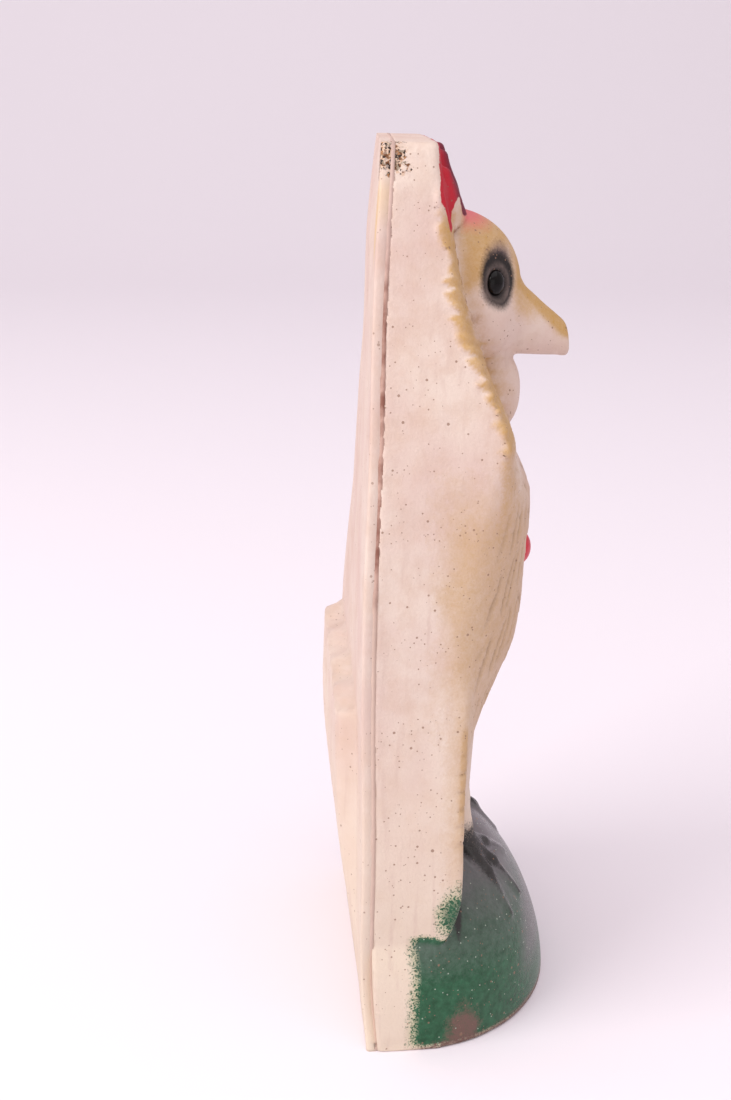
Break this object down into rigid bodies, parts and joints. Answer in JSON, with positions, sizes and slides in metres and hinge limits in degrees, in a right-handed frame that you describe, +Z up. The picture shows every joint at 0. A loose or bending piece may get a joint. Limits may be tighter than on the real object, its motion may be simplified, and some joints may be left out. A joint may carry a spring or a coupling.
{
  "type": "rubber chicken",
  "caption": "Flat-backed hollow rubber hen standing on a domed mound, a relief moulding closed by a cemented back panel, with inset eyes, a chest stud and a reed squeaker in its base",
  "frame": {"origin": "on the floor, at the middle of the back face's foot, which is the rear edge of the flat sole", "axes": "+Z up, the hen faces -Y and its right-hand side, seen from the front, is +X"},
  "size_m": [0.09, 0.0585, 0.219],
  "materials": {
    "painted_rubber": "matt moulded rubber with airbrushed paint",
    "back_rubber": "matt moulded rubber, unpainted",
    "cement": "aged rubber cement holding grime",
    "eye_black": "gloss",
    "stud_red": "gloss",
    "squeaker_plastic": "moulded, satin",
    "reed_brass": "rolled shim"
  },
  "bodies": {
    "figure": {"front_shell": "painted_rubber", "back_panel": "back_rubber", "seam_cement": "cement", "eye_left": "eye_black", "eye_right": "eye_black", "chest_stud": "stud_red", "squeaker_cup": "squeaker_plastic", "squeaker_cap": "squeaker_plastic", "reed_block": "squeaker_plastic", "reed_wedge": "squeaker_plastic"},
    "reed": {"squeaker_reed": "reed_brass"}
  },
  "joints": [
    {"name": "reed_flutter", "type": "hinge", "parent": "figure", "child": "reed", "pos_m": [0, -0.0205, 0.00415], "axis": [1, 0, 0], "range_deg": [-4, 4], "stiffness_Nm_per_rad": 0.005}
  ]
}
